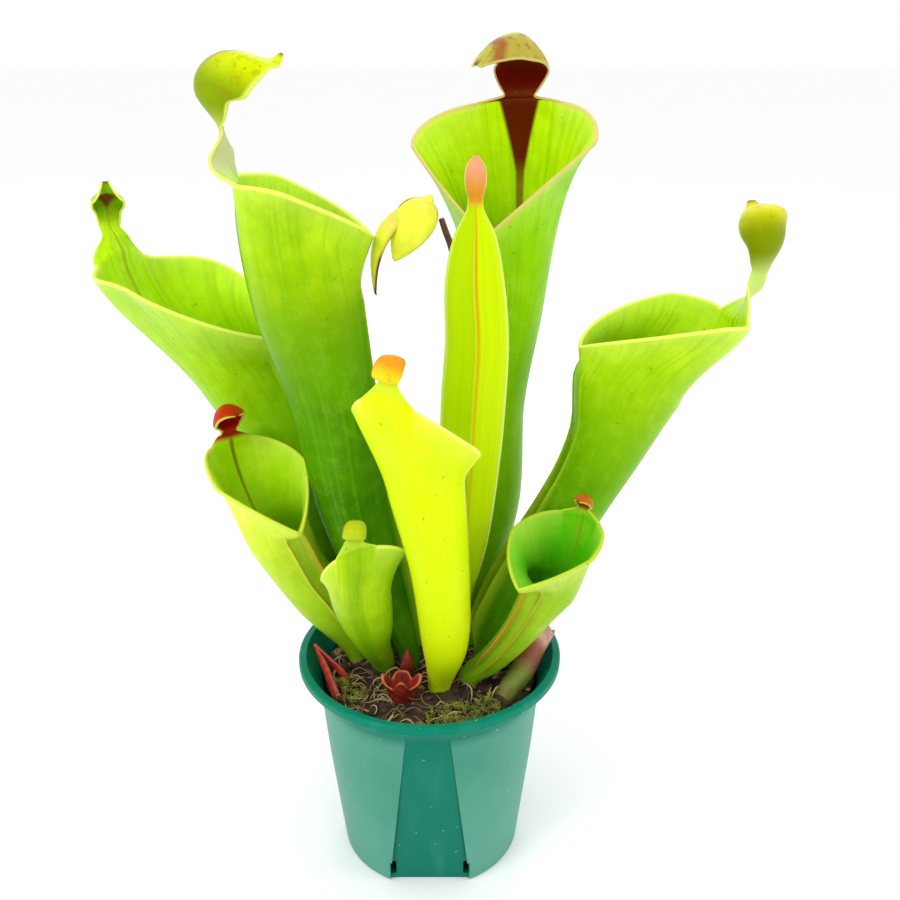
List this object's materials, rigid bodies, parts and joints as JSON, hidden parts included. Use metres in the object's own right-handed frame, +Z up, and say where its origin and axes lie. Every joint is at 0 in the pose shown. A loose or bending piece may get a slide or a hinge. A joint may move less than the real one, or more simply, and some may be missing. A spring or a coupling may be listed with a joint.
{
  "type": "potted pitcher plant",
  "caption": "Sun pitcher plant with open funnel-shaped leaves, an unopened leaf and a nodding flower bud, growing in peat in a green plastic nursery pot.",
  "frame": {"origin": "centre of the flat underside of the pot", "axes": "+Z up through the middle of the pot; -Y towards the viewer of the picture; +X to that viewer's right"},
  "size_m": [0.2552, 0.1263, 0.3045],
  "materials": {
    "pot_plastic": "semi-matt moulded plastic, darker on the rim",
    "peat": "matt, coarse dark peat",
    "rhizome_bark": "matt, brown",
    "leaf_green": "smooth living leaf with a soft sheen, green to yellow-green, red in the hoods",
    "leaf_lemon": "smooth living leaf with a soft sheen, lemon green with an orange midrib",
    "leaf_dark": "smooth living leaf with a soft sheen, deeper green with orange wings",
    "leaf_red": "smooth dark red leaf tissue",
    "leaf_withered": "dry, papery, brown over green",
    "scape": "smooth, dark reddish brown",
    "bud": "waxy, yellow-green with a purple edge"
  },
  "bodies": {
    "root": {"pot": "pot_plastic", "soil": "peat", "rhizome": "rhizome_bark", "pitcher_left_tall": "leaf_green", "pitcher_left_far": "leaf_green", "pitcher_back": "leaf_green", "pitcher_front": "leaf_lemon", "pitcher_lower_left": "leaf_green", "pitcher_small_front": "leaf_green", "pitcher_right_tall": "leaf_green", "pitcher_lower_right": "leaf_dark", "pitcher_unopened": "leaf_lemon", "young_pitcher": "leaf_red", "old_pitcher_cup": "leaf_red", "old_pitcher_right": "leaf_withered", "old_leaf_straps": "leaf_red", "flower_scape": "scape", "flower_bud": "bud"}
  },
  "joints": []
}
